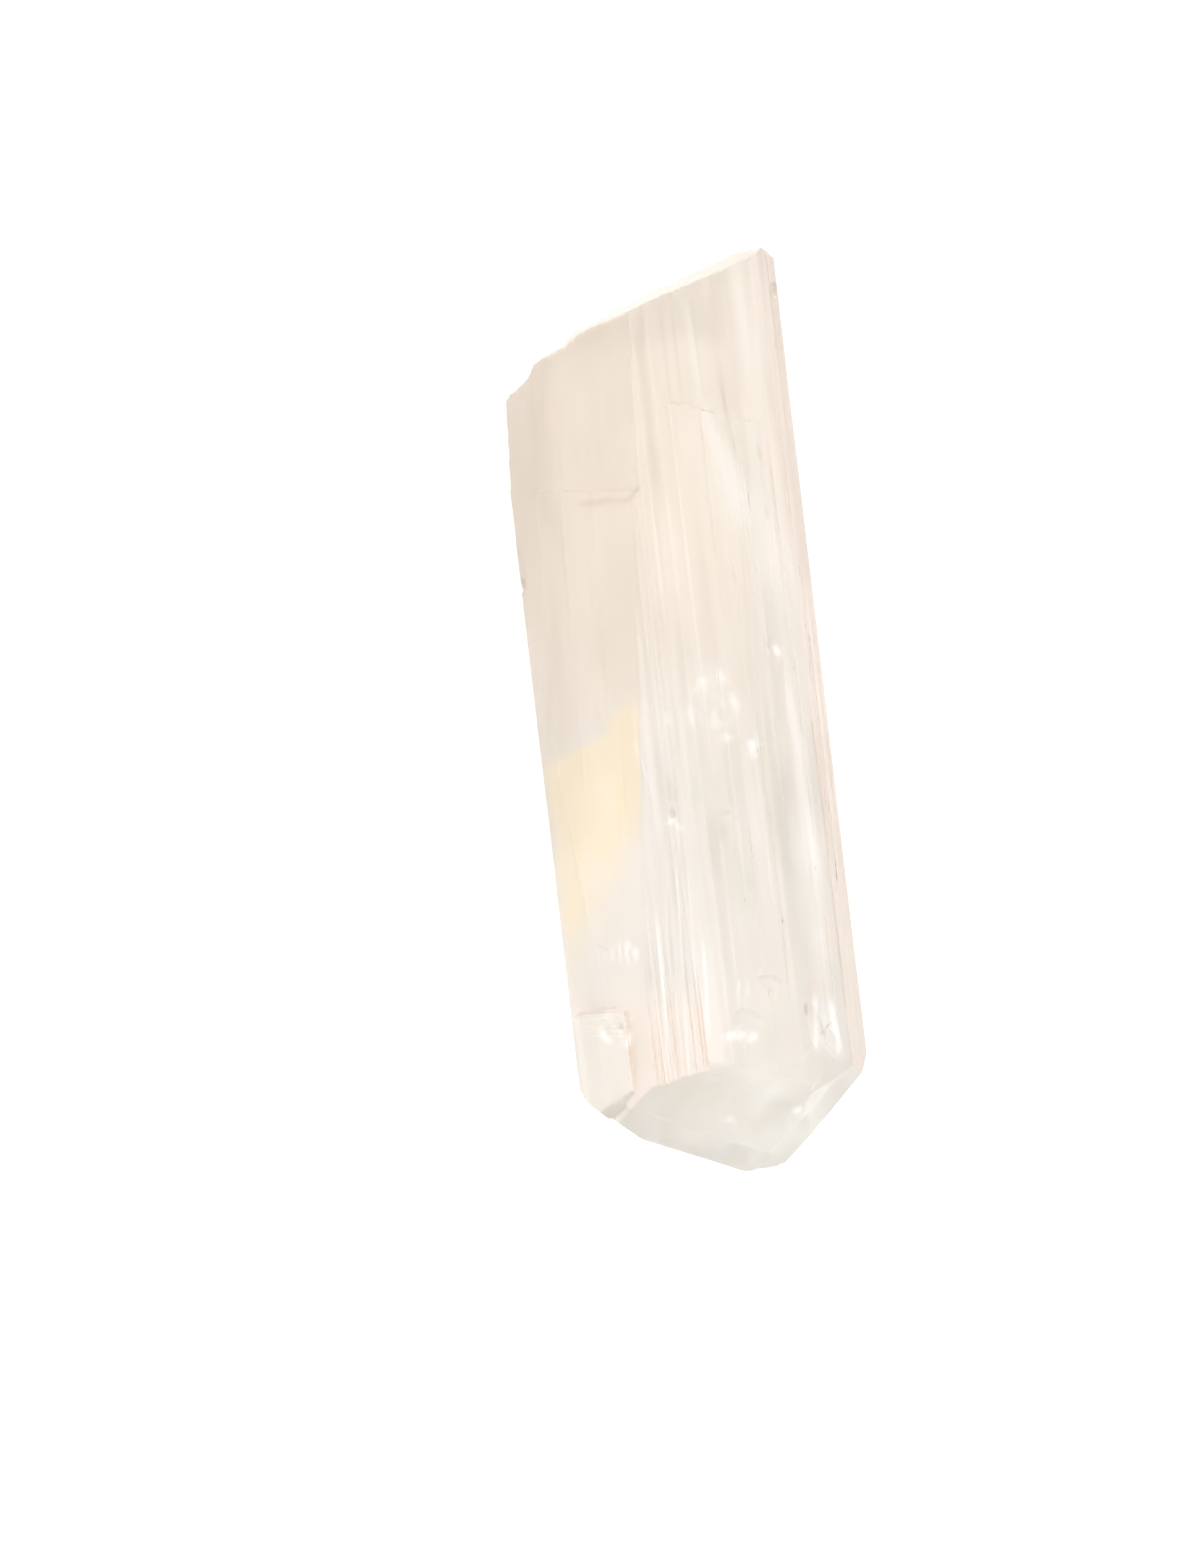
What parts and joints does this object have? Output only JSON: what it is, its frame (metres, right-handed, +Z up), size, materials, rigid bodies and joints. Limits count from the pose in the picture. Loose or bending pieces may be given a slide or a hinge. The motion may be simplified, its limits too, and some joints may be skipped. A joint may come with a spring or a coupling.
{
  "type": "danburite crystal",
  "caption": "Pale, milky danburite crystal: a long striated prism with a wedge-shaped tip at one end and an uneven break at the other, lying on its back prism face.",
  "frame": {"origin": "middle of the footprint, on the surface that the crystal rests on", "axes": "+Y along the crystal's c axis, from the wedge-shaped tip towards the broken root; +X across, along its b axis; +Z up, along its a axis, to the crest of its front"},
  "size_m": [0.0176, 0.0554, 0.013],
  "materials": {
    "danburite": "Colourless to pale cream natural danburite, cloudy and satin rather than water-clear, glassy on the tip's faces and finely striated along the prism."
  },
  "bodies": {
    "root": {"crystal": "danburite"}
  },
  "joints": []
}
